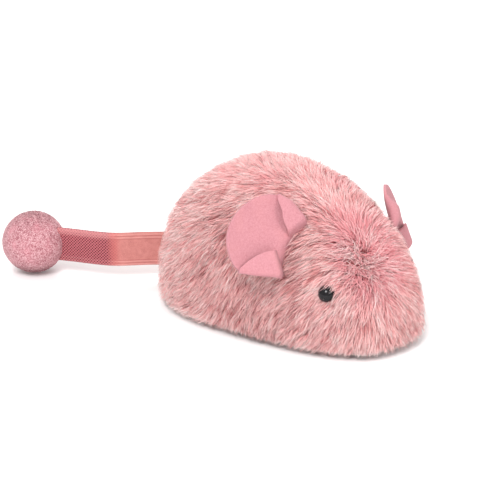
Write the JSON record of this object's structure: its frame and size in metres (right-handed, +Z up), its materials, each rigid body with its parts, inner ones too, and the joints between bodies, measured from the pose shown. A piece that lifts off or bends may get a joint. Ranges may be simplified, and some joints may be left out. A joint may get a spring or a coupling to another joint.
{
  "type": "clockwork mouse",
  "caption": "Plush-covered clockwork mouse with felt ears, bead eyes, drive wheels, a winding key and a webbing tail that ends in a soft ball.",
  "frame": {"origin": "on the floor, under the middle of the whole toy including its tail", "axes": "+X to the nose, +Y to the mouse's left, +Z up"},
  "size_m": [0.1834, 0.1116, 0.0626],
  "materials": {
    "plush": "long pink pile, matt",
    "felt": "pressed felt, matt",
    "bead": "polished black",
    "webbing": "woven elastic",
    "pile": "short looped pile",
    "foam": "soft foam",
    "shell": "moulded, satin",
    "chassis": "moulded, fine grain",
    "key_plastic": "moulded, semi-gloss",
    "steel": "plated",
    "spring_steel": "blued",
    "brass": "stamped",
    "rubber": "matt"
  },
  "bodies": {
    "mouse_body": {"plush_cover": "plush", "upper_shell": "shell", "key_bush": "chassis", "base_plate": "chassis", "base_screw_1": "steel", "base_screw_2": "steel", "base_screw_3": "steel", "base_screw_4": "steel", "motor_screw_1": "steel", "motor_screw_2": "steel", "motor_screw_3": "steel", "motor_screw_4": "steel", "motor_plate_left": "steel", "motor_plate_right": "steel", "motor_pillar_1": "steel", "motor_pillar_2": "steel", "motor_pillar_3": "steel", "motor_pillar_4": "steel", "mainspring": "spring_steel", "ear_right": "felt", "ear_left": "felt", "eye_right": "bead", "eye_left": "bead", "tail_root_tab": "webbing", "tail_end_clip": "steel"},
    "winding": {"winding_arbor": "steel", "click_star": "spring_steel", "winding_key": "key_plastic"},
    "great_wheel": {"great_wheel": "brass"},
    "second_arbor": {"second_arbor": "steel", "second_pinion": "steel", "second_wheel": "brass"},
    "drive_axle": {"drive_axle": "steel", "axle_pinion": "steel", "wheel_hub_left": "key_plastic", "wheel_hub_right": "key_plastic", "wheel_tyre_left": "rubber", "wheel_tyre_right": "rubber"},
    "caster_swivel": {"caster_fork": "chassis", "caster_clip": "steel", "caster_pin": "steel"},
    "caster_wheel": {"caster_wheel": "rubber"},
    "tail": {"tail_strap": "webbing", "tail_ball_cover": "pile", "tail_ball_core": "foam"}
  },
  "joints": [
    {"name": "winding_key_turn", "type": "hinge", "parent": "mouse_body", "child": "winding", "pos_m": [0.03073, 0.00347, 0.02519], "axis": [0, -1, 0], "range_deg": [0, 1440], "deforming": ["mainspring"]},
    {"name": "drive_axle_roll", "type": "hinge", "parent": "mouse_body", "child": "drive_axle", "pos_m": [0.01415, 0.00347, 0.01], "axis": [0, 1, 0], "continuous": true},
    {"name": "second_arbor_turn", "type": "hinge", "parent": "mouse_body", "child": "second_arbor", "pos_m": [0.02069, 0.00347, 0.01765], "axis": [0, 1, 0], "continuous": true},
    {"name": "great_wheel_turn", "type": "hinge", "parent": "mouse_body", "child": "great_wheel", "pos_m": [0.03073, 0.00347, 0.02519], "axis": [0, 1, 0], "continuous": true},
    {"name": "caster_swivel", "type": "hinge", "parent": "mouse_body", "child": "caster_swivel", "pos_m": [0.06715, 0.00347, 0], "axis": [0, 0, 1], "continuous": true},
    {"name": "caster_wheel_roll", "type": "hinge", "parent": "caster_swivel", "child": "caster_wheel", "pos_m": [0.06315, 0.00347, 0.0045], "axis": [0, 1, 0], "continuous": true},
    {"name": "tail_swing", "type": "hinge", "parent": "mouse_body", "child": "tail", "pos_m": [-0.01835, 0.00267, 0], "axis": [0, 0, 1], "range_deg": [-76, 14], "stiffness_Nm_per_rad": 0.004}
  ],
  "couplings": [
    {"joint": "second_arbor_turn", "follows": "drive_axle_roll", "ratio": -0.33333},
    {"joint": "great_wheel_turn", "follows": "drive_axle_roll", "ratio": 0.083333}
  ]
}
